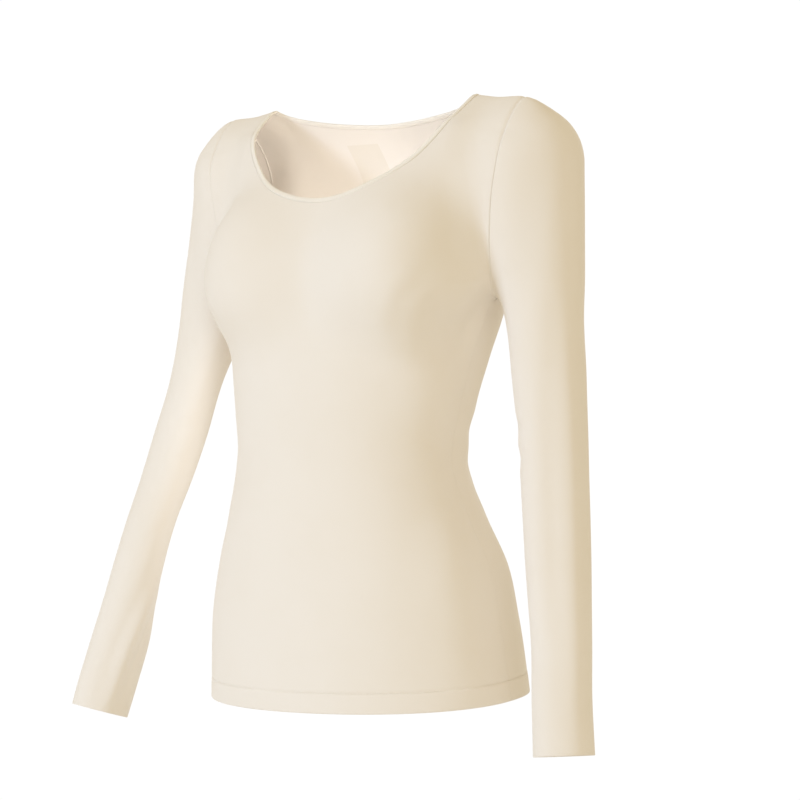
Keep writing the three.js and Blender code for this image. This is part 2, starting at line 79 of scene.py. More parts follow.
# Rings of the body
TORSO_COLUMNS = ("z", "sway", "half_width", "front", "back")
TORSO = [
    (40, 0, 204, 58, 56),
    (0, 0, 194, 60, 64),
    (-50, 0, 178, 69, 78),
    (-100, 0, 163, 85, 87),
    (-150, 0, 150, 101, 92),
    (-200, 0, 142, 105, 90),
    (-250, -6, 134, 107, 80),
    (-300, -7, 124, 109, 67),
    (-350, -7, 118, 111, 62),
    (-400, -4, 131, 117, 75),
    (-450, 0, 149, 122, 89),
    (-500, 0, 159, 124, 96),
    (-550, 1, 164, 124, 103),
    (-600, 2, 168, 123, 108),
]
FRONT_SQUARE = 2.15
BACK_SQUARE = 2.35

# Shoulders
NECK_HALF = 120
SHOULDER_HALF = 168
SHOULDER_SLOPE = 0.17
RIDGE_Y = 4
RIDGE_ROUND = 6
FRONT_FALL = 0.78
FRONT_FALL_TIP = 1.35
BACK_FALL = 1.1
BACK_FALL_TIP = 1.1
ROOF_BLEND = 26

# Rounded fullness of the front's cut, one each side
FULLNESS = {"across": 77, "depth": -62, "z": -178, "rx": 68, "ry": 60, "above": 86, "below": 58, "blend": 36}

# Sleeves
SLEEVE_TOP = -68
CAP_HEIGHT = 54
SECTION_TURN = math.radians(40)
SLEEVE_BLEND = 22
SLEEVE_COLUMNS = ("drop", "out", "forward", "wide", "narrow")
SLEEVE_LEFT = [
    (0, 176, -14, 50, 47),
    (60, 182, -12, 46, 43),
    (110, 189.5, -8.5, 41.5, 38.5),
    (148, 196.5, -5, 36.3, 34),
    (204, 204, -1, 34.4, 29),
    (262, 211, 3, 32, 27),
    (337, 219.5, 11, 30.9, 26),
    (410, 228, 19.5, 28.9, 25.5),
    (447, 232.5, 24, 27.6, 25.5),
    (500, 238, 32, 27.3, 25.5),
    (560, 245, 39, 28, 26),
]
SLEEVE_RIGHT = [
    (0, 176, -14, 50, 47),
    (60, 184, -10.5, 46, 43),
    (110, 192, -4, 41.5, 38.5),
    (148, 200, 0, 37, 33.5),
    (204, 212, 12, 33, 26.5),
    (262, 222.5, 26, 32, 26.5),
    (305, 230.5, 38, 31, 25.5),
    (346, 238, 52, 30, 24.4),
    (386, 243.4, 64, 29, 24.8),
    (426, 247, 75, 28, 26.5),
    (467, 251, 86, 26.5, 29),
    (507, 257, 97, 25.5, 29.5),
    (560, 264, 111, 25.5, 28.5),
]
CUFF_LEFT = 547
CUFF_RIGHT = 535

# Neckline, armholes and hem
NECK_DROP_FRONT = -99.5
NECK_DROP_BACK = -19.5
NECK_POWER_FRONT = 1.9
NECK_POWER_BACK = 1.6
NECK_LEAN_FRONT = 0.92
NECK_LEAN_BACK = 0.8
NECK_STEP = 0.03
NECK_UNDER = 0.3
UNDERARM = (150, -3, -120)
ARMHOLE_COLUMNS = ("z", "out")
ARMHOLE_FRONT = [
    (-205, 150),
    (-195, 155.5),
    (-180, 158.5),
    (-140, 161.5),
    (-100, 165.5),
    (-60, 172),
    (-7, 175),
]
ARMHOLE_BACK = [
    (-205, 150),
    (-190, 149),
    (-165, 149.5),
    (-140, 152.5),
    (-100, 160),
    (-60, 170),
    (-7, 175),
]
ARMHOLE_LENGTH = 235
STRAP_LENGTH = 80
CAP_LENGTH = 150
ARMHOLE_EYE = (158, 3, -105)
TIP_X = 175
HEM_LEVEL = -576
SIDE_LENGTH = 375
HEM_TILT_X = 0.025
HEM_TILT_Y = 0.06
CAP_END = 165
STRAP_ANGLE = math.radians(40)
ARMHOLE_LIFT = 45
CORNER_DIP = 24
CHEST = {"share": 0.8, "y": 2, "top": -75, "blend": 40, "low": -60}

# Mesh density of the shells
STRAP_COLUMNS = 20
NECK_COLUMNS = 96
LOWER_ROWS = 112
ARMHOLE_ROWS = 64
SLEEVE_RINGS = 170
CAP_RINGS = 44
EDGE_STEPS = (0, 0.6, 1.3, 2.2, 3.4, 5.2)      # rows and columns beside a seam
HEM_ROWS = (0, 0.8, 2, 4, 7, 10, 13, 15.2, 16.4, 17, 17.5, 18, 18.5, 19, 19.6, 20.8, 22.6, 25)
EDGE_LAYERS = 8                                # steps round the open edge of a shell

# How a straight way is followed to where it leaves the form
WAY_STEPS = 60
WAY_SHARE = 0.85
WAY_BACK = -6
WAY_AHEAD = 30

# Creases of the body: face, then from and to as distance across and height,
# depth out (+) or in (-), and half width
BODY_CREASE_COLUMNS = ("face", "x1", "z1", "x2", "z2", "bow", "depth", "width")
BODY_CREASES = [
    (-1, 138, -176, 96, -232, 8, -0.9, 9),
    (-1, 142, -196, 118, -262, 6, -0.7, 8),
    (-1, -140, -178, -100, -226, -8, -0.8, 9),
    (-1, 141, -134, 130, -252, 0, -9.5, 29),
    (-1, 126, -232, 114, -356, 0, -3.0, 24),
    (-1, -134, -128, -122, -222, 0, -1.3, 20),
    (-1, 88, -318, 130, -408, 4, 2.0, 18),
    (-1, 122, -380, 152, -572, 9, 2.4, 20),
    (-1, -92, -322, -128, -410, -4, 1.0, 17),
    (-1, -124, -384, -150, -570, 9, 1.0, 20),
    (1, 96, -330, 128, -412, 6, 1.6, 18),
    (1, -98, -334, -129, -408, 6, 1.4, 18),
    (-1, 112, -326, 64, -352, 5, -0.6, 10),
    (-1, -112, -330, -70, -352, -5, -0.5, 10),
    (1, 118, -318, 40, -344, 9, -1.4, 11),
    (1, 108, -352, 30, -366, 6, -1.1, 10),
    (1, -116, -322, -44, -350, -8, -1.3, 11),
    (1, -104, -358, -22, -372, -5, -1.0, 10),
    (1, 132, -170, 100, -236, 6, -1.0, 10),
    (1, -132, -172, -98, -232, -6, -1.1, 10),
]

# The cloth spans the hollow between the chest and the sleeve along the front of each armhole
ARMHOLE_SPAN = {"low": 0.06, "high": 0.80, "steps": 40, "height": 5.5, "width": 21}

# A crease falls off to both sides, with a slight hollow beside it, and fades at its ends
CREASE_SIDE = {"height": 0.28, "at": 1.9, "width": 0.8}
CREASE_FADE = 0.6
CREASE_REACH = 4

# Slow unevenness of the cloth
SOFT_BODY = {"height": 0.35, "size": 95, "seed": 3}
SOFT_SLEEVE = {"height": 0.3, "size": 80, "seed": 20}
SOFT_WAVES = 7

# Creases along the sleeves: points as drop and turn, which starts at the inner side and runs by the front
SLEEVE_CREASES = [
    {"side": 1, "depth": 2.2, "width": 9,
     "points": [(120, 158), (235, 157), (330, 155), (430, 152), (555, 150)]},
    {"side": 1, "depth": -0.7, "width": 7, "points": [(190, 112), (260, 108), (360, 106), (450, 104)]},
    {"side": 1, "depth": -1.1, "width": 7, "points": [(236, 20), (250, 50), (246, 84)]},
    {"side": 1, "depth": -0.9, "width": 7, "points": [(262, -10), (276, 30), (272, 62)]},
    {"side": 1, "depth": -1.0, "width": 8, "points": [(228, 300), (243, 330), (240, 352)]},
    {"side": -1, "depth": 3.0, "width": 7,
     "points": [(380, -12), (402, -4), (465, 22), (515, 29), (536, 46)]},
    {"side": -1, "depth": -2.0, "width": 10, "points": [(418, -28), (465, -6), (536, 6)]},
    {"side": -1, "depth": -1.1, "width": 7, "points": [(238, 20), (252, 48), (250, 80)]},
    {"side": -1, "depth": -0.9, "width": 7, "points": [(268, 0), (282, 32), (279, 60)]},
    {"side": -1, "depth": 1.2, "width": 7, "points": [(180, 230), (270, 226), (380, 222), (470, 224)]},
]

# Colours as the cloth reflects them; the deeper cream also serves as painted shade
CREAM = (0.89, 0.845, 0.80)
# deeper cream: the knit's random mottling, and painted shade in its stitch gaps and in the sewing thread's
# twist
CREAM_MOTTLE_AND_SHADE = (0.865, 0.81, 0.745)
THREAD = (0.93, 0.895, 0.85)
PATCH = (0.80, 0.745, 0.66)
PATCH_PLACE = {"x": -40, "z": -56, "half_width": 19, "half_height": 21, "edge": 0.6, "share": 0.55}

# Knit
WALE = 1.15                        # width of a column of stitches
COURSE = 0.95                      # height of a stitch
BINDING_WALE = 0.9
BINDING_COURSE = 0.8
KNIT = {
    "wander": 0.35,
    "wander_scale": 260.0,
    "slope": 0.55,
    "loop": 0.30,
    "rib": 0.55,
    "fuzz": 0.5,
    "fuzz_scale": 1900.0,
    "bump": 0.32,
    "bump_height": 0.16,
    "cloud": 0.35,
    "cloud_scale": 14.0,
    # gap: share of painted shade, deeper cream where the knit's relief is low
    "gap": 0.30,
    "rough": 0.80,
    "rough_fuzz": 0.16,
    "gloss": 0.22,
    "sheen": 0.12,
    "sheen_rough": 0.55,
}
SEWING_THREAD = {"scale": 1500.0, "bump": 0.4, "bump_height": 0.1, "rough": 0.55}

# Stage, in metres
FLOOR = {"radius": 1.4, "z": -0.95, "colour": (0.92, 0.92, 0.91, 1), "rough": 0.8}
SURROUND_RADIUS = 9
SURROUND_GLOW = 1.02

# Lights, in metres. A light far off has its place from the middle of the top: right, toward the camera
# and up.
WORLD_COLOUR = (0.86, 0.73, 0.49, 1)
WORLD_STRENGTH = 0.78
MIDDLE = (0, 0, -0.30)
LIGHTS = [
    {"name": "key", "from_middle": (-3.6, 2.0, 1.0), "size": 1.2, "power": 83, "colour": (0.54, 0.69, 0.93)},
    {"name": "hollow", "place": (0.07, -0.03, -0.22), "target": (-0.13, 0.005, -0.08), "size": 0.08,
     "power": 0.16, "colour": (1.0, 0.96, 0.90)},
    {"name": "hollow_side", "place": (0.08, -0.03, -0.20), "target": (-0.15, 0.05, -0.06), "size": 0.06,
     "power": 0.02, "colour": (1.0, 0.96, 0.90), "spread": math.radians(75)},
    {"name": "under_arm", "place": (-0.156, -0.055, -0.36), "target": (-0.256, -0.065, -0.36), "size": 0.07,
     "tall": 0.28, "power": 0.020, "colour": (0.86, 0.92, 1.0)},
    {"name": "behind", "from_middle": (1.6, -3.0, 1.2), "size": 1.4, "power": 26, "colour": (0.72, 0.84, 1.0)},
    {"name": "fill", "from_middle": (0.8, 3.0, 0.5), "size": 2.0, "power": 11, "colour": (0.95, 0.97, 1.0)},
]


def along(rows, columns, key, name, at):
    """Smooth curve through one column of a table."""
    k = columns.index(key)
    n = columns.index(name)
    rows = sorted(rows, key=lambda row: row[k])
    x = np.array([row[k] for row in rows], float)
    v = np.array([row[n] for row in rows], float)
    h = np.diff(x)
    slope = np.diff(v) / h
    tangent = np.empty_like(v)
    tangent[0] = 0 if key == "drop" else slope[0]
    tangent[-1] = slope[-1]
    tangent[1:-1] = (h[1:] * slope[:-1] + h[:-1] * slope[1:]) / (h[1:] + h[:-1])
    at = np.clip(at, x[0], x[-1])
    i = np.clip(np.searchsorted(x, at) - 1, 0, len(x) - 2)
    t = (at - x[i]) / h[i]
    start = (1 + 2 * t) * (1 - t) ** 2 * v[i] + t * (1 - t) ** 2 * h[i] * tangent[i]
    return start + t * t * (3 - 2 * t) * v[i + 1] + t * t * (t - 1) * h[i] * tangent[i + 1]


def torso_at(name, z):
    return along(TORSO, TORSO_COLUMNS, "z", name, z)


def sleeve_at(side, name, drop):
    return along(SLEEVE_LEFT if side > 0 else SLEEVE_RIGHT, SLEEVE_COLUMNS, "drop", name, drop)


def smooth_step(v, low, high):
    t = np.clip((v - low) / (high - low), 0, 1)
    return t * t * (3 - 2 * t)


def smooth_min(a, b, k):
    h = np.clip(0.5 + 0.5 * (b - a) / k, 0, 1)
    return b + (a - b) * h - k * h * (1 - h)


def smooth_max(a, b, k):
    return -smooth_min(-a, -b, k)


def length_of(v):
    return np.linalg.norm(v, axis=-1, keepdims=True)


def unit(v):
    return v / np.maximum(length_of(v), 1e-9)


def roof_distance(x, y, z):
    """Distance above the shoulders' ridge and its falls to the front and the back."""
    out = np.abs(x)
    tip = smooth_step(out, NECK_HALF, SHOULDER_HALF)
    ridge = -SHOULDER_SLOPE * np.maximum(0, out - NECK_HALF)
    w = y - RIDGE_Y
    front = FRONT_FALL + (FRONT_FALL_TIP - FRONT_FALL) * tip
    back = BACK_FALL + (BACK_FALL_TIP - BACK_FALL) * tip
    fall = np.where(w < 0, front, back)
    drop = fall * (np.hypot(w, RIDGE_ROUND) - RIDGE_ROUND)
    return (z - ridge + drop) / np.hypot(1, fall)


def torso_distance(p):
    """Negative inside the body's rings, the roof of the shoulders and the fullness of the front."""
    x, y, z = p[..., 0], p[..., 1], p[..., 2]
    half_width = torso_at("half_width", z)
    front = torso_at("front", z)
    back = torso_at("back", z)
    depth = (back + front) / 2
    u = x - torso_at("sway", z)
    v = y - (back - front) / 2
    n = np.where(v < 0, FRONT_SQUARE, BACK_SQUARE)
    q = ((np.abs(u) / half_width) ** n + (np.abs(v) / depth) ** n + 1e-4) ** (1 / n)
    body = np.sqrt(u * u + v * v + 0.01) * (1 - 1 / q)
    body = smooth_max(body, roof_distance(x, y, z), ROOF_BLEND)
    for side in (-1, 1):
        w = p - np.array([side * FULLNESS["across"], FULLNESS["depth"], FULLNESS["z"]])
        tall = np.where(w[..., 2] > 0, FULLNESS["above"], FULLNESS["below"])
        across = (w[..., 0] / FULLNESS["rx"]) ** 2
        forward = (w[..., 1] / FULLNESS["ry"]) ** 2
        reach = np.sqrt(across + forward + (w[..., 2] / tall) ** 2 + 1e-6)
        cup = (np.linalg.norm(w, axis=-1) + 0.06) * (1 - 1 / reach)
        body = smooth_min(body, cup, FULLNESS["blend"])
    return body


def sleeve_distance(p, side):
    """Negative inside one sleeve and its rounded cap."""
    x, y, z = p[..., 0], p[..., 1], p[..., 2]
    above = np.maximum(0, z - SLEEVE_TOP)
    drop = np.maximum(0, SLEEVE_TOP - z)
    dx = side * x - sleeve_at(side, "out", drop)
    dy = y + sleeve_at(side, "forward", drop)
    wide = sleeve_at(side, "wide", drop)
    narrow = sleeve_at(side, "narrow", drop)
    u = dx * math.cos(SECTION_TURN) + dy * math.sin(SECTION_TURN)
    v = dy * math.cos(SECTION_TURN) - dx * math.sin(SECTION_TURN)
    q = np.sqrt((u / wide) ** 2 + (v / narrow) ** 2 + (above / CAP_HEIGHT) ** 2 + 1e-6)
    return np.sqrt(u * u + v * v + above * above + 1e-6 * wide * wide) * (1 - 1 / q)


def form_distance(p):
    """Negative inside the hollow of the whole top."""
    body = torso_distance(p)
    for side in (-1, 1):
        body = smooth_min(body, sleeve_distance(p, side), SLEEVE_BLEND)
    return body


def form_normal(p, step=0.5):
    """Directions straight out of the form."""
    n = np.empty_like(p)
    for k in range(3):
        e = np.zeros(3)
        e[k] = step
        n[..., k] = form_distance(p + e) - form_distance(p - e)
    return unit(n)


def leave(origin, toward, distance=form_distance):
    """The places where straight ways from inside leave the form."""
    origin, way = np.broadcast_arrays(np.asarray(origin, float), unit(np.asarray(toward, float)))
    t = np.zeros(way.shape[:-1])
    for _ in range(WAY_STEPS):
        t = t + np.clip(-distance(origin + way * t[..., None]) * WAY_SHARE, WAY_BACK, WAY_AHEAD)
    return origin + way * t[..., None]


def run_length(points):
    """Length along a run of points, or along each row of a grid."""
    steps = np.linalg.norm(np.diff(points, axis=-2), axis=-1)
    start = np.zeros(steps.shape[:-1] + (1,))
    return np.concatenate([start, np.cumsum(steps, axis=-1)], axis=-1)


def spaced(points, shares):
    """Points at these shares of a run's length."""
    length = run_length(points)
    return np.stack([np.interp(shares * length[-1], length, points[:, k]) for k in range(3)], axis=-1)


def shares_with_edges(count, length, low, high):
    """Even shares from 0 to 1, with closer ones beside a seam at the low or the high end."""
    inner = np.array(EDGE_STEPS) / length
    shares = np.linspace(0, 1, count + 1)
    if low:
        shares = np.concatenate([inner, np.linspace(inner[-1], 1, count + 2 - len(inner))[1:]])
    if high:
        rest = shares[shares < 1 - inner[-1] * 1.3]
        shares = np.concatenate([rest, (1 - inner)[::-1]])
    return shares


def shoulder_points(x):
    """Points on the shoulders' ridge at these distances across."""
    x = np.atleast_1d(np.asarray(x, float))
    origin = np.stack([x, 0 * x + RIDGE_Y, 0 * x + CHEST["low"]], axis=-1)
    return leave(origin, [0, 0, 1])


def armhole(side, face, shares):
    """Points of an armhole from the underarm up to the shoulder tip: face -1 is the front, 1 the back."""
    under = leave([side * UNDERARM[0], UNDERARM[1], UNDERARM[2]], [0, 0, -1])
    tip = shoulder_points(side * TIP_X)[0]
    table = ARMHOLE_FRONT if face < 0 else ARMHOLE_BACK

    def at(z):
        climb = (z - under[2]) / (tip[2] - under[2])
        x = side * along(table, ARMHOLE_COLUMNS, "z", "out", z)
        origin = np.stack([x, UNDERARM[1] + (RIDGE_Y - UNDERARM[1]) * climb, z], axis=-1)
        return leave(origin, [0, face, 0])

    turn = np.linspace(0, math.pi, 161)
    run = at(under[2] + (tip[2] - under[2]) * (1 - np.cos(turn)) / 2)
    run[0] = under
    run[-1] = tip
    points = spaced(run, shares)
    points[1:-1] = at(points[1:-1, 2])
    points[0] = under
    points[-1] = tip
    return points


def neckline(face, grown, count):
    """The neckline of one face from the neck point at +X to the one at -X, grown outward over the cloth."""
    low = NECK_DROP_FRONT if face < 0 else NECK_DROP_BACK
    lean = NECK_LEAN_FRONT if face < 0 else NECK_LEAN_BACK
    power = NECK_POWER_FRONT if face < 0 else NECK_POWER_BACK
    end = shoulder_points(NECK_HALF)[0]
    grown_end = shoulder_points(NECK_HALF + grown)[0]

    def curve(turn):
        c = np.cos(turn)
        s = np.sin(turn)
        x = NECK_HALF * np.sign(c) * np.abs(c) ** (2 / power)
        z = end[2] + (low - end[2]) * np.abs(s) ** (2 / power)
        return np.stack([x, z], axis=-1)

    def at(turn, by):
        way = unit(curve(np.minimum(math.pi, turn + NECK_STEP)) - curve(np.maximum(0, turn - NECK_STEP)))
        x = curve(turn)[:, 0] - way[:, 1] * by
        z = curve(turn)[:, 1] + way[:, 0] * by * lean
        origin = np.stack([x, 0 * x + RIDGE_Y, np.minimum(z, grown_end[2] - NECK_UNDER)], axis=-1)
        return leave(origin, [0, face, 0])

    turns = np.linspace(0, math.pi, 481)
    length = run_length(at(turns, 0))
    even = np.interp(np.linspace(0, length[-1], count + 1), length, turns)
    points = at(even, grown)
    points[0] = grown_end
    points[-1] = points[0] * [-1, 1, 1]
    return points


def panel_rows(face):
    """Front or back panel as rows of points from the hem to the shoulders and the neckline."""
    climb_shares = shares_with_edges(ARMHOLE_ROWS, ARMHOLE_LENGTH, False, True)
    upper = len(climb_shares) - 1
    left = armhole(1, face, climb_shares)
    right = armhole(-1, face, climb_shares)
    neck = neckline(face, BINDING_WIDTH + SEAM_GAP, NECK_COLUMNS)
    strap = shares_with_edges(STRAP_COLUMNS, STRAP_LENGTH, True, False)
    strap_count = len(strap) - 1
    columns = 2 * strap_count + NECK_COLUMNS
    shoulder = shoulder_points(left[-1, 0] + (neck[0, 0] - left[-1, 0]) * strap[:-1])
    top = np.concatenate([shoulder, neck, shoulder[::-1] * [-1, 1, 1]])

    side_angles = STRAP_ANGLE * strap
    middle_angles = np.linspace(STRAP_ANGLE, math.pi - STRAP_ANGLE, NECK_COLUMNS + 1)
    angles = np.concatenate([side_angles[:-1], middle_angles, math.pi - side_angles[::-1][1:]])
    to_right = (1 - np.cos(angles)) / 2
    from_side = np.minimum(angles, math.pi - angles)
    under_z = left[0, 2] + (right[0, 2] - left[0, 2]) * to_right
    under_z = under_z - CORNER_DIP * smooth_step(from_side, 0, STRAP_ANGLE)

    shares = row_shares()
    z = np.tile((HEM_LEVEL + under_z) / 2, (len(shares), 1))
    for _ in range(5):
        half_width = torso_at("half_width", z)
        depth = (torso_at("back", z) + torso_at("front", z)) / 2
        middle_y = (torso_at("back", z) - torso_at("front", z)) / 2
        x = torso_at("sway", z) + half_width * np.cos(angles)
        y = middle_y + face * depth * np.sin(angles)
        z = (HEM_LEVEL + HEM_TILT_X * x + HEM_TILT_Y * y) * (1 - shares[:, None]) + under_z * shares[:, None]
    middle = np.stack([torso_at("sway", z), middle_y, z], axis=-1)
    way = np.stack([half_width * np.cos(angles), face * depth * np.sin(angles), 0 * z], axis=-1)
    lower = leave(middle, way)
    base = lower[-1]
    base[0] = left[0]
    base[-1] = right[0]

    across = run_length(base)
    u = (across / across[-1])[None, :, None]
    rise = 0.25 * sum((run[:, 2] - run[0, 2]) / (run[-1, 2] - run[0, 2]) for run in (left, right))
    t = (0.5 * climb_shares + rise)[:, None, None]
    rows = base * (1 - t) + top * t
    rows = rows + (left[:, None] - rows[:, :1]) * (1 - u) ** 3 + (right[:, None] - rows[:, -1:]) * u ** 3
    inner = rows * [CHEST["share"], 0, 1]
    inner[..., 1] = CHEST["y"]
    lift = ARMHOLE_LIFT * np.maximum((1 - u) ** 3, u ** 3)[..., 0]
    inner[..., 2] = smooth_min(inner[..., 2], CHEST["top"], CHEST["blend"]) + lift
    rows = leave(inner, rows - inner)
    rows[:, 0] = left
    rows[:, -1] = right
    rows[-1] = top
    rows[-1, 0] = left[-1]
    rows[-1, -1] = right[-1]
    return np.concatenate([lower, rows[1:]]), strap_count, upper


def row_shares():
    """Heights of the rows below the armholes, closer at the hem's edge and at its stitching."""
    even = np.linspace(HEM_ROWS[-1], SIDE_LENGTH, LOWER_ROWS - len(HEM_ROWS) + 2)[1:]
    return np.concatenate([HEM_ROWS, even]) / SIDE_LENGTH


def sleeve_ring(side, drop, turns):
    """Points round a sleeve: turn 0 is its inner side and a quarter turn its front."""
    def centre(d):
        return np.array([side * sleeve_at(side, "out", d), -sleeve_at(side, "forward", d), SLEEVE_TOP - d])

    down = unit(centre(drop + 5) - centre(drop - 5))
    out = np.array([side, 0.0, 0.0])
    out = unit(out - down * (out @ down))
    front = np.array([0.0, -1.0, 0.0])
    front = front - down * (front @ down)
    front = unit(front - out * (front @ out))
    way = -np.cos(turns)[:, None] * out + np.sin(turns)[:, None] * front
    return leave(centre(drop), way, lambda p: sleeve_distance(p, side))


def sleeve_rows(side):
    """A sleeve as rings of points from the cuff up to its armhole."""
    half = shares_with_edges(ARMHOLE_ROWS, ARMHOLE_LENGTH, False, False)
    front = armhole(side, -1, half)
    back = armhole(side, 1, half)
    loop = np.concatenate([front, back[-2:0:-1]])
    turns = np.arange(len(loop)) * 2 * math.pi / len(loop)
    first = sleeve_ring(side, CAP_END, turns)
    eye = np.array([side * ARMHOLE_EYE[0], ARMHOLE_EYE[1], ARMHOLE_EYE[2]])
    far_out = sleeve_at(side, "out", CAP_END)
    far = np.array([side * far_out, -sleeve_at(side, "forward", CAP_END), SLEEVE_TOP - CAP_END])
    shares = shares_with_edges(CAP_RINGS, CAP_LENGTH, True, False)[1:-1]
    t = shares[:, None, None]
    way = loop * (1 - t) + first * t
    inner = eye * (1 - t) + far * t
    cap = leave(inner, way - inner)
    cuff = CUFF_LEFT if side > 0 else CUFF_RIGHT
    drops = np.linspace(CAP_END, cuff, SLEEVE_RINGS - CAP_RINGS + 1)
    tube = np.stack([sleeve_ring(side, drop, turns) for drop in drops])
    return np.concatenate([loop[None], cap, tube])[::-1]


def crease_line(points):
    """A smooth line through a crease's points."""
    points = np.asarray(points, float)
    at = np.arange(len(points))
    fine = np.linspace(0, len(points) - 1, 8 * (len(points) - 1) + 1)
    slope = np.gradient(points, axis=0)
    i = np.clip(fine.astype(int), 0, len(points) - 2)
    t = (fine - at[i])[:, None]
    start = (1 + 2 * t) * (1 - t) ** 2 * points[i] + t * (1 - t) ** 2 * slope[i]
    return start + t * t * (3 - 2 * t) * points[i + 1] + t * t * (t - 1) * slope[i + 1]


def crease_relief(p, line, depth, width):
    """Height of one crease at the points p: deepest halfway, fading at its ends."""
    flat = p.reshape(-1, 3)
    near = np.full(len(flat), np.inf)
    place = np.zeros(len(flat))
    low = line.min(axis=0) - CREASE_REACH * width
    high = line.max(axis=0) + CREASE_REACH * width
    box = (flat > low).all(axis=1) & (flat < high).all(axis=1)
    some = flat[box]
    best = np.full(len(some), np.inf)
    where = np.zeros(len(some))
    total = run_length(line)
    for a, b, start in zip(line[:-1], line[1:], total):
        way = b - a
        size = np.linalg.norm(way)
        t = np.clip((some - a) @ way / size ** 2, 0, 1)
        away = np.linalg.norm(some - a - t[:, None] * way, axis=1)
        closer = away < best
        best = np.where(closer, away, best)
        where = np.where(closer, (start + t * size) / total[-1], where)
    near[box] = best
    place[box] = where
    fade = np.sin(math.pi * np.clip(place, 0, 1)) ** CREASE_FADE
    r = near / width
    beside = np.exp(-((r - CREASE_SIDE["at"]) / CREASE_SIDE["width"]) ** 2)
    shape = np.exp(-r * r) - CREASE_SIDE["height"] * beside
    return (depth * fade * shape).reshape(p.shape[:-1])


def body_creases(p, face):
    """Height of all creases of one face of the body."""
    total = np.zeros(p.shape[:-1])
    for row in BODY_CREASES:
        crease = dict(zip(BODY_CREASE_COLUMNS, row))
        if crease["face"] != face:
            continue
        t = np.linspace(0, 1, 9)
        x = crease["x1"] + (crease["x2"] - crease["x1"]) * t
        z = crease["z1"] + (crease["z2"] - crease["z1"]) * t + crease["bow"] * np.sin(math.pi * t)
        line = leave(np.stack([x, 0 * x, z], axis=-1), [0, face, 0])
        total = total + crease_relief(p, line, crease["depth"], crease["width"])
    return total


def sleeve_creases(p, side):
    """Height of all creases of one sleeve."""
    total = np.zeros(p.shape[:-1])
    for crease in SLEEVE_CREASES:
        if crease["side"] != side:
            continue
        places = []
        for drop, turn in crease_line(crease["points"]):
            places.append(sleeve_ring(side, drop, np.array([math.radians(turn)])))
        line = np.concatenate(places)
        total = total + crease_relief(p, line, crease["depth"], crease["width"])
    return total


def armhole_span(p):
    """Raised cloth along the front of the armholes, the same on both sides of their seams."""
    total = np.zeros(p.shape[:-1])
    for side in (-1, 1):
        steps = ARMHOLE_SPAN["steps"]
        line = armhole(side, -1, np.linspace(0, 1, steps + 1))
        line = line[int(ARMHOLE_SPAN["low"] * steps):int(ARMHOLE_SPAN["high"] * steps)]
        total = total + crease_relief(p, line, ARMHOLE_SPAN["height"], ARMHOLE_SPAN["width"])
    return total


def softness(p, size, seed):
    """Slow uneven waves of about 1 mm height or less that keep the cloth from looking moulded."""
    rng = np.random.default_rng(seed)
    total = np.zeros(p.shape[:-1])
    for _ in range(SOFT_WAVES):
        way = rng.normal(size=3)
        way = way / np.linalg.norm(way) * 2 * math.pi / (size * rng.uniform(0.7, 1.6))
        total = total + np.sin(p @ way + rng.uniform(0, 2 * math.pi))
    return total / SOFT_WAVES


def seam_dip(distance, depth):
    """The groove along a seam at these distances from it."""
    return -depth * np.exp(-(distance / SEAM_WIDTH) ** 2)


def armhole_depth(rows):
    """How far an armhole's seam draws the cloth in: more at the shoulder tip."""
    return ARMHOLE_SEAM_DEPTH + TIP_SEAM_EXTRA * smooth_step(rows[..., 2], TIP_SEAM_LOW, TIP_SEAM_HIGH)


def new_object(name, points, faces, uv_index, uv, material, body="root"):
    """A mesh object from points in millimetres, quads and the cloth's own coordinates for each corner."""
    mesh = bpy.data.meshes.new(name)
    mesh.vertices.add(len(points))
    mesh.vertices.foreach_set("co", (points * MM).astype(np.float32).ravel())
    mesh.loops.add(faces.size)
    mesh.loops.foreach_set("vertex_index", faces.astype(np.int32).ravel())
    mesh.polygons.add(len(faces))
    mesh.polygons.foreach_set("loop_start", (np.arange(len(faces)) * faces.shape[1]).astype(np.int32))
    mesh.polygons.foreach_set("loop_total", np.full(len(faces), faces.shape[1], np.int32))
    mesh.update(calc_edges=True)
    layer = mesh.uv_layers.new(name="knit")
    layer.data.foreach_set("uv", (uv[uv_index.ravel()] * MM).astype(np.float32).ravel())
    mesh.validate()
    mesh.shade_smooth()
    obj = bpy.data.objects.new(name, mesh)
    bpy.context.scene.collection.objects.link(obj)
    obj.data.materials.append(material)
    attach(obj, body)
    return obj


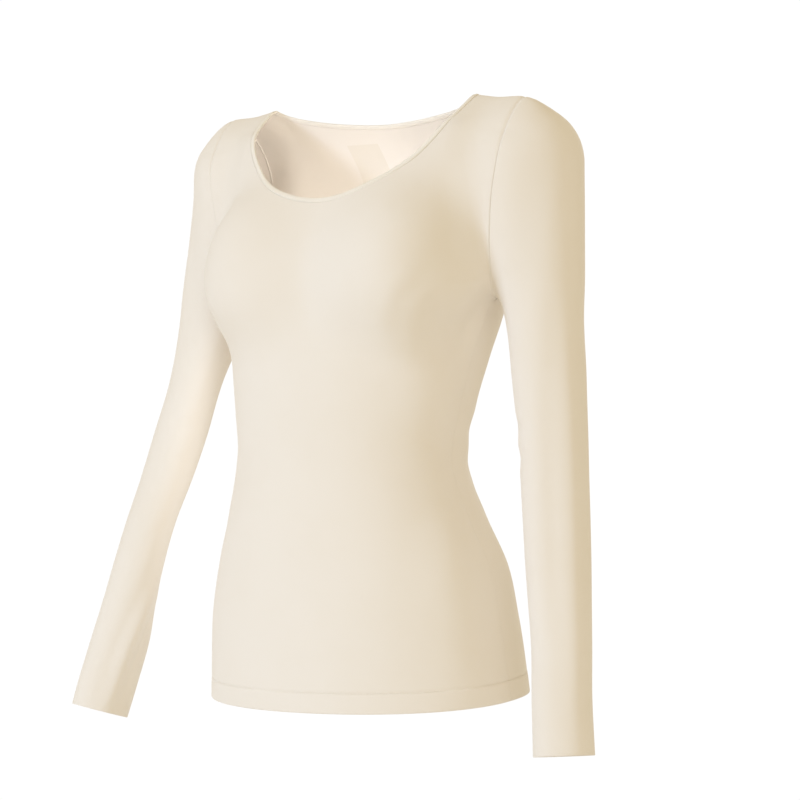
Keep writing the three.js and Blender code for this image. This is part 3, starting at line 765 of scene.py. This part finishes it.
def shell(name, rows, outward, inward, closed_round, material):
    """Closed shell on a grid of points, rounded at its open edge: heights above and below them come first."""
    normals = form_normal(rows)
    outer = rows + normals * outward[..., None]
    inner = rows - normals * inward[..., None]
    count_rows, count_columns = rows.shape[:2]
    down = unit(rows[0] - rows[1])
    middle = (outer[0] + inner[0]) / 2
    half = (outer[0] - inner[0]) / 2
    size = length_of(half)
    rounding = []
    for turn in np.linspace(0, math.pi, EDGE_LAYERS)[1:-1]:
        rounding.append(middle + half * math.cos(turn) + down * size * math.sin(turn))
    grid = np.concatenate([outer[::-1], np.stack(rounding), inner])
    total = len(grid)
    index = np.arange(total * count_columns).reshape(total, count_columns)
    closed = np.concatenate([index, index[:, :1]], axis=1) if closed_round else index
    corners = [closed[:-1, :-1], closed[:-1, 1:], closed[1:, 1:], closed[1:, :-1]]
    quads = [np.stack(corners, axis=-1).reshape(-1, 4)]

    # cloth coordinates, the same on both faces
    wrap = np.concatenate([rows, rows[:, :1]], axis=1) if closed_round else rows
    across = run_length(wrap)
    across = across - across[:, [across.shape[1] // 2]]
    upward = run_length(np.swapaxes(wrap, 0, 1)).T
    cloth = np.stack([across, upward], axis=-1)
    middle_uv = [cloth[:1]] * (total - 2 * count_rows)
    uv = np.concatenate([cloth[::-1]] + middle_uv + [cloth])
    width = uv.shape[1]
    uv_grid = np.arange(total * width).reshape(total, width)
    corners = [uv_grid[:-1, :-1], uv_grid[:-1, 1:], uv_grid[1:, 1:], uv_grid[1:, :-1]]
    uv_index = [np.stack(corners, axis=-1).reshape(-1, 4)]

    def close(a, b, uv_a, uv_b):
        quads.append(np.stack([a[:-1], a[1:], b[1:], b[:-1]], axis=-1))
        uv_index.append(np.stack([uv_a[:-1], uv_a[1:], uv_b[1:], uv_b[:-1]], axis=-1))

    close(closed[-1], closed[0], uv_grid[-1], uv_grid[0])
    if not closed_round:
        outer_rows = np.arange(count_rows)
        inner_rows = total - 1 - outer_rows
        for column, flip in ((0, False), (count_columns - 1, True)):
            a = index[outer_rows, column]
            b = index[inner_rows, column]
            uv_a = uv_grid[outer_rows, column]
            uv_b = uv_grid[inner_rows, column]
            if flip:
                close(a[::-1], b[::-1], uv_a[::-1], uv_b[::-1])
            else:
                close(a, b, uv_a, uv_b)
        rim = index[count_rows - 1:total - count_rows + 1]
        uv_rim = uv_grid[count_rows - 1:total - count_rows + 1]
        for column, flip in ((0, False), (count_columns - 1, True)):
            fan = rim[:, column]
            uv_fan = uv_rim[:, column]
            half = len(fan) // 2
            a = fan[:half]
            b = fan[::-1][:half]
            if half > 1:
                if flip:
                    close(a[::-1], b[::-1], uv_fan[:half][::-1], uv_fan[::-1][:half][::-1])
                else:
                    close(a, b, uv_fan[:half], uv_fan[::-1][:half])
    points = grid.reshape(-1, 3)
    faces = np.concatenate(quads)
    uv_all = np.concatenate(uv_index)
    a, b, c, d = (points[faces[:, k]] for k in range(4))
    volume = (np.cross(b - a, c - a) * a).sum() + (np.cross(c - a, d - a) * a).sum()
    if volume < 0:
        faces = faces[:, ::-1]
        uv_all = uv_all[:, ::-1]
    return new_object(name, points, faces, uv_all, uv.reshape(-1, 2), material)


def drawn_in(rows, sides, top_columns):
    """Draws the seam edges in by half the sewn gap."""
    rows = rows.copy()
    half = SEWN_GAP / 2
    if sides:
        rows[:, 0] += unit(rows[:, 1] - rows[:, 0]) * half
        rows[:, -1] += unit(rows[:, -2] - rows[:, -1]) * half
    rows[-1, top_columns] += (unit(rows[-2] - rows[-1]) * half)[top_columns]
    return rows


def panel(name, face, material):
    """Front or back panel with its creases, seams and turned-up hem."""
    rows, strap_count, upper = panel_rows(face)
    count_rows, count_columns = rows.shape[:2]
    across = run_length(rows)
    to_side = np.minimum(across, across[:, -1:] - across)
    upward = run_length(np.swapaxes(rows, 0, 1)).T
    to_top = upward[-1:] - upward
    column = np.arange(count_columns)
    strap = (column < strap_count) | (column > strap_count + NECK_COLUMNS)
    soft = softness(rows, SOFT_BODY["size"], SOFT_BODY["seed"] + face)
    relief = body_creases(rows, face) + SOFT_BODY["height"] * soft
    relief = relief * smooth_step(np.minimum(to_side, to_top), 0, SEAM_QUIET)
    if face < 0:
        relief = relief + armhole_span(rows)
    below = np.arange(count_rows)[:, None] < count_rows - upper
    relief = relief + seam_dip(to_side, np.where(below, SIDE_SEAM_DEPTH, armhole_depth(rows)))
    relief = relief + np.where(strap, seam_dip(to_top, SHOULDER_SEAM_DEPTH), 0)
    from_stitch = upward - HEM_TURN
    hem = HEM_STAND * (1 - smooth_step(from_stitch, -1.5, 1.0))
    relief = relief + hem - HEM_GROOVE * np.exp(-(from_stitch / HEM_GROOVE_WIDTH) ** 2)
    doubled = HEM_LAYER * (1 - smooth_step(upward, HEM_TURN, HEM_TURN + HEM_STEP))
    rows = drawn_in(rows, True, strap)
    outward = WALL / 2 + relief
    inward = WALL / 2 - relief + doubled
    return shell(name, rows, outward, inward, False, material), rows


def sleeve(name, side, material):
    """One sleeve with its creases and the seam of its armhole."""
    rows = sleeve_rows(side)
    to_top = run_length(np.swapaxes(rows[::-1], 0, 1)).T[::-1]
    soft = softness(rows, SOFT_SLEEVE["size"], SOFT_SLEEVE["seed"] + side)
    relief = sleeve_creases(rows, side) + SOFT_SLEEVE["height"] * soft
    relief = relief * smooth_step(to_top, 0, SEAM_QUIET)
    relief = relief + seam_dip(to_top, armhole_depth(rows)) + armhole_span(rows)
    rows = drawn_in(rows, False, np.ones(rows.shape[1], bool))
    return shell(name, rows, WALL / 2 + relief, WALL / 2 - relief, True, material)


def binding(name, material):
    """Folded binding: a rounded strip round the neckline's edge."""
    half = NECK_COLUMNS * 2
    lines = []
    for grown in np.linspace(0, BINDING_WIDTH, BINDING_ROWS):
        front = neckline(-1, grown, half)
        back = neckline(1, grown, half)
        lines.append(np.concatenate([front, back[-2:0:-1]]))
    rows = np.stack(lines)
    share = np.linspace(0, 1, BINDING_ROWS)[:, None] * np.ones(rows.shape[1])
    swell = BINDING_STAND * (1 - (2 * share - 1) ** 4) + BINDING_ROLL * (1 - share)
    stand = WALL / 2 + swell
    return shell(name, rows, stand, stand, True, material)


def stitches(name, path, normals, pitch, thread, material):
    """A row of sewn stitches: short rounded threads laid end to end along a line."""
    length = run_length(path)
    count = int(length[-1] / pitch)
    at = (np.arange(count) + 0.5) * length[-1] / count

    def place(values, where):
        return np.stack([np.interp(where, length, values[:, k]) for k in range(3)], axis=-1)

    start = place(path, at - STITCH_SHARE / 2 * pitch)
    end = place(path, at + STITCH_SHARE / 2 * pitch)
    normal = unit(place(normals, at))
    way = unit(end - start)
    side = unit(np.cross(way, normal))
    t = np.linspace(0, 1, STITCH_RINGS)
    turn = np.arange(STITCH_AROUND) * 2 * math.pi / STITCH_AROUND
    thick = thread * np.sqrt(np.clip(1 - (2 * t - 1) ** 4, 0.04, 1))
    rise = thread * (1.1 * np.sin(math.pi * t) - 0.5)
    centre = start[:, None] + (end - start)[:, None] * t[None, :, None]
    centre = centre + normal[:, None] * rise[None, :, None]
    over_side = np.cos(turn)[None, None, :, None] * side[:, None, None]
    over_normal = np.sin(turn)[None, None, :, None] * normal[:, None, None]
    points = centre[:, :, None] + (over_side + over_normal) * thick[None, :, None, None]
    index = np.arange(points[..., 0].size).reshape(points.shape[:3])
    following = np.roll(index, -1, axis=2)
    corners = [index[:, :-1], following[:, :-1], following[:, 1:], index[:, 1:]]
    faces = [np.stack(corners, axis=-1).reshape(-1, 4)]
    for loop in (index[:, 0], index[:, -1, ::-1]):
        for k in range(1, STITCH_AROUND - 2, 2):
            faces.append(np.stack([loop[:, 0], loop[:, k + 2], loop[:, k + 1], loop[:, k]], axis=-1))
    faces = np.concatenate(faces)
    flat = points.reshape(-1, 3)
    a, b, c = (flat[faces[:, k]] for k in range(3))
    if (np.cross(b - a, c - a) * a).sum() < 0:
        faces = faces[:, ::-1]
    return new_object(name, flat, faces, faces, flat[:, :2], material)


def hem_stitches(name, rows, material):
    """One row of stitches along the hem of one panel."""
    low_rows = rows[:HEM_SEWING["rows"]]
    upward = run_length(np.swapaxes(low_rows, 0, 1))
    line = []
    for column in range(rows.shape[1]):
        line.append([np.interp(HEM_TURN, upward[column], low_rows[:, column, k]) for k in range(3)])
    line = np.array(line)
    normals = form_normal(line)
    path = line + normals * (WALL / 2 - HEM_GROOVE + HEM_SEWING["lift"] + HEM_STAND * 0.5)
    row = stitches(name, path[1:-1], normals[1:-1], HEM_SEWING["pitch"], HEM_SEWING["thread"], material)


def neck_stitches(name, face, material):
    """One row of stitches along the binding's lower edge."""
    line = neckline(face, BINDING_WIDTH - NECK_SEWING["from_edge"], NECK_SEWING["points"])
    normals = form_normal(line)
    path = line + normals * (WALL / 2 + BINDING_STAND)
    row = stitches(name, path, normals, NECK_SEWING["pitch"], NECK_SEWING["thread"], material)


def nodes_of(material):
    """The material's emptied node tree."""
    material.use_nodes = True
    tree = material.node_tree
    tree.nodes.clear()
    return tree


class Build:
    """Short ways to add and join shader nodes."""

    def __init__(self, tree):
        self.tree = tree

    def add(self, kind, **values):
        node = self.tree.nodes.new(kind)
        for key, value in values.items():
            setattr(node, key, value)
        return node

    def put(self, socket, value):
        if isinstance(value, bpy.types.NodeSocket):
            self.tree.links.new(value, socket)
        else:
            socket.default_value = value

    def math(self, operation, a, b=0.0):
        node = self.add("ShaderNodeMath", operation=operation)
        self.put(node.inputs[0], a)
        self.put(node.inputs[1], b)
        return node.outputs[0]

    def noise(self, coordinates, scale, detail=3.0):
        node = self.add("ShaderNodeTexNoise")
        self.put(node.inputs["Vector"], coordinates)
        node.inputs["Scale"].default_value = scale
        node.inputs["Detail"].default_value = detail
        return node.outputs["Fac"]

    def mix(self, share, a, b):
        node = self.add("ShaderNodeMix", data_type="RGBA")
        self.put(node.inputs["Factor"], share)
        self.put(node.inputs["A"], a)
        self.put(node.inputs["B"], b)
        return node.outputs["Result"]

    def between(self, value, low, high):
        """0 below low and 1 above high."""
        node = self.add("ShaderNodeMapRange", interpolation_type="SMOOTHSTEP")
        self.put(node.inputs["Value"], value)
        node.inputs["From Min"].default_value = low
        node.inputs["From Max"].default_value = high
        return node.outputs["Result"]


def knit_material(name, light, mottle_and_shade, wale=WALE, course=COURSE, patch=None):
    """Fine jersey: columns of small V stitches with a soft brushed surface, random mottling and painted shade
    in the gaps between the stitches.
    """
    material = bpy.data.materials.new(name)
    build = Build(nodes_of(material))
    uv = build.add("ShaderNodeUVMap", uv_map="knit").outputs["UV"]
    split = build.add("ShaderNodeSeparateXYZ")
    build.put(split.inputs[0], uv)
    place = build.add("ShaderNodeTexCoord").outputs["Object"]

    column = build.math("FRACT", build.math("DIVIDE", split.outputs["X"], wale * MM))
    leg = build.math("ABSOLUTE", build.math("SUBTRACT", build.math("MULTIPLY", column, 2.0), 1.0))
    wander = build.math("MULTIPLY", build.noise(place, KNIT["wander_scale"], 1.0), KNIT["wander"])
    slope = build.math("MULTIPLY", leg, KNIT["slope"])
    course_at = build.math("DIVIDE", split.outputs["Y"], course * MM)
    phase = build.math("ADD", build.math("ADD", course_at, slope), wander)
    loop = build.math("SINE", build.math("MULTIPLY", phase, 2 * math.pi))
    rib = build.math("SINE", build.math("MULTIPLY", leg, math.pi))
    loops = build.math("MULTIPLY", loop, KNIT["loop"])
    height = build.math("ADD", loops, build.math("MULTIPLY", rib, KNIT["rib"]))
    fuzz = build.noise(place, KNIT["fuzz_scale"], 2.0)
    height = build.math("ADD", height, build.math("MULTIPLY", fuzz, KNIT["fuzz"]))

    bump = build.add("ShaderNodeBump")
    bump.inputs["Strength"].default_value = KNIT["bump"]
    bump.inputs["Distance"].default_value = KNIT["bump_height"] * MM
    build.put(bump.inputs["Height"], height)

    cloudy = build.between(build.noise(place, KNIT["cloud_scale"], 3.0), 0.35, 0.70)
    colour = build.mix(build.math("MULTIPLY", cloudy, KNIT["cloud"]), light + (1,), mottle_and_shade + (1,))
    # painted shade: the colour turns to the deeper cream where the stitch relief is low, in the gaps between
    # stitches
    stitch_gap_shade = build.between(height, 0.30, -0.25)
    colour = build.mix(build.math("MULTIPLY", stitch_gap_shade, KNIT["gap"]), colour, mottle_and_shade + (1,))
    if patch:
        colour = patch(build, place, colour)
    rough = build.math("ADD", KNIT["rough"], build.math("MULTIPLY", fuzz, KNIT["rough_fuzz"]))

    shader = build.add("ShaderNodeBsdfPrincipled")
    build.put(shader.inputs["Base Color"], colour)
    build.put(shader.inputs["Roughness"], rough)
    build.put(shader.inputs["Normal"], bump.outputs["Normal"])
    shader.inputs["Specular IOR Level"].default_value = KNIT["gloss"]
    shader.inputs["Sheen Weight"].default_value = KNIT["sheen"]
    shader.inputs["Sheen Roughness"].default_value = KNIT["sheen_rough"]
    out = build.add("ShaderNodeOutputMaterial")
    build.put(out.inputs["Surface"], shader.outputs["BSDF"])
    return material


def thread_material():
    """Twisted sewing thread, with painted shade in the low parts of its twist."""
    material = bpy.data.materials.new("sewing_thread")
    build = Build(nodes_of(material))
    place = build.add("ShaderNodeTexCoord").outputs["Object"]
    twist_and_shade = build.noise(place, SEWING_THREAD["scale"], 2.0)
    # painted shade: the thread is deeper cream where its twist relief is low and its own colour where it is
    # high
    colour = build.mix(build.between(twist_and_shade, 0.3, 0.7), CREAM_MOTTLE_AND_SHADE + (1,), THREAD + (1,))
    bump = build.add("ShaderNodeBump")
    bump.inputs["Strength"].default_value = SEWING_THREAD["bump"]
    bump.inputs["Distance"].default_value = SEWING_THREAD["bump_height"] * MM
    build.put(bump.inputs["Height"], twist_and_shade)
    shader = build.add("ShaderNodeBsdfPrincipled")
    build.put(shader.inputs["Base Color"], colour)
    build.put(shader.inputs["Normal"], bump.outputs["Normal"])
    shader.inputs["Roughness"].default_value = SEWING_THREAD["rough"]
    out = build.add("ShaderNodeOutputMaterial")
    build.put(out.inputs["Surface"], shader.outputs["BSDF"])
    return material


def neck_patch(build, place, colour):
    """A plain tonal patch on the inside of the back, under its neckline."""
    split = build.add("ShaderNodeSeparateXYZ")
    build.put(split.inputs[0], place)
    normal = build.add("ShaderNodeSeparateXYZ")
    build.put(normal.inputs[0], build.add("ShaderNodeNewGeometry").outputs["Normal"])

    def inside(value, middle, half):
        away = build.math("ABSOLUTE", build.math("SUBTRACT", value, middle * MM))
        return build.between(away, (half + PATCH_PLACE["edge"]) * MM, (half - PATCH_PLACE["edge"]) * MM)

    across = inside(split.outputs["X"], PATCH_PLACE["x"], PATCH_PLACE["half_width"])
    upward = inside(split.outputs["Z"], PATCH_PLACE["z"], PATCH_PLACE["half_height"])
    facing = build.between(normal.outputs["Y"], -0.1, -0.2)
    share = build.math("MULTIPLY", build.math("MULTIPLY", across, upward), facing)
    return build.mix(build.math("MULTIPLY", share, PATCH_PLACE["share"]), colour, PATCH + (1,))


def area_light(light, place, target):
    """One light of the table, from its place toward its target."""
    data = bpy.data.lights.new(light["name"], "AREA")
    data.shape = "DISK"
    data.size = light["size"]
    data.energy = light["power"]
    data.color = light["colour"]
    if "spread" in light:
        data.spread = light["spread"]
    if "tall" in light:
        data.shape = "ELLIPSE"
        data.size_y = light["tall"]
    obj = bpy.data.objects.new(light["name"], data)
    bpy.context.scene.collection.objects.link(obj)
    obj.location = place
    way = np.array(target) - np.array(place)
    obj.rotation_euler = (math.atan2(math.hypot(way[0], way[1]), -way[2]), 0, math.atan2(-way[0], way[1]))
    obj.visible_camera = False


def make_camera():
    """The camera, and the directions to its right and toward it."""
    right = np.array([math.cos(VIEW_TURN), math.sin(VIEW_TURN), 0])
    toward = np.array([math.sin(VIEW_TURN), -math.cos(VIEW_TURN), 0])
    place = right * VIEW_ASIDE + toward * VIEW_DISTANCE
    place[2] = VIEW_HEIGHT
    data = bpy.data.cameras.new("camera")
    data.sensor_fit = "HORIZONTAL"
    data.angle = 2 * math.atan(VIEW_WIDTH / 2 / VIEW_DISTANCE)
    camera = bpy.data.objects.new("camera", data)
    bpy.context.scene.collection.objects.link(camera)
    camera.location = place * MM
    camera.rotation_euler = (math.pi / 2, 0, VIEW_TURN)
    bpy.context.scene.camera = camera
    return right, toward


def make_stage():
    """Plain pale floor below the top and a white surround that only the camera sees."""
    place = (0, 0, FLOOR["z"])
    bpy.ops.mesh.primitive_circle_add(vertices=96, radius=FLOOR["radius"], fill_type="NGON", location=place)
    floor = bpy.context.object
    floor.name = "floor"
    pale = bpy.data.materials.new("pale_floor")
    pale.use_nodes = True
    shader = pale.node_tree.nodes["Principled BSDF"]
    shader.inputs["Base Color"].default_value = FLOOR["colour"]
    shader.inputs["Roughness"].default_value = FLOOR["rough"]
    floor.data.materials.append(pale)
    bpy.ops.mesh.primitive_uv_sphere_add(segments=48, ring_count=24, radius=SURROUND_RADIUS)
    surround = bpy.context.object
    surround.name = "surround"
    white = bpy.data.materials.new("white_surround")
    build = Build(nodes_of(white))
    glow = build.add("ShaderNodeEmission")
    glow.inputs["Strength"].default_value = SURROUND_GLOW
    out = build.add("ShaderNodeOutputMaterial")
    build.put(out.inputs["Surface"], glow.outputs["Emission"])
    surround.data.materials.append(white)
    surround.visible_diffuse = False
    surround.visible_glossy = False
    surround.visible_transmission = False
    surround.visible_shadow = False


def make_light(right, toward):
    """Soft daylight all round and the lights of the table."""
    world = bpy.context.scene.world or bpy.data.worlds.new("world")
    bpy.context.scene.world = world
    world.use_nodes = True
    background = world.node_tree.nodes["Background"]
    background.inputs["Color"].default_value = WORLD_COLOUR
    background.inputs["Strength"].default_value = WORLD_STRENGTH
    for light in LIGHTS:
        if "from_middle" in light:
            aside, near, up = light["from_middle"]
            place = np.array(MIDDLE) + right * aside + toward * near + np.array([0, 0, up])
            area_light(light, place, MIDDLE)
        else:
            area_light(light, light["place"], light["target"])
    bpy.context.scene.view_settings.view_transform = "Standard"


right, toward = make_camera()
knit_front = knit_material("knit_front", CREAM, CREAM_MOTTLE_AND_SHADE)
knit_back = knit_material("knit_back", CREAM, CREAM_MOTTLE_AND_SHADE, patch=neck_patch)
knit_sleeve = knit_material("knit_sleeve", CREAM, CREAM_MOTTLE_AND_SHADE)
knit_binding = knit_material("knit_binding", THREAD, CREAM_MOTTLE_AND_SHADE, BINDING_WALE, BINDING_COURSE)
thread = thread_material()

front, front_rows = panel("front_cloth", -1, knit_front)
back, back_rows = panel("back_cloth", 1, knit_back)
sleeve_left = sleeve("sleeve_left_cloth", 1, knit_sleeve)
sleeve_right = sleeve("sleeve_right_cloth", -1, knit_sleeve)
neck = binding("neck_binding_cloth", knit_binding)

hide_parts("front")
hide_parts("back")
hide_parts("sleeve_left")
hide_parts("sleeve_right")
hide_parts("neck_binding")

hem_stitches("hem_stitches_front", front_rows, thread)
hem_stitches("hem_stitches_back", back_rows, thread)
neck_stitches("neck_stitches_front", -1, thread)
neck_stitches("neck_stitches_back", 1, thread)

make_stage()
make_light(right, toward)
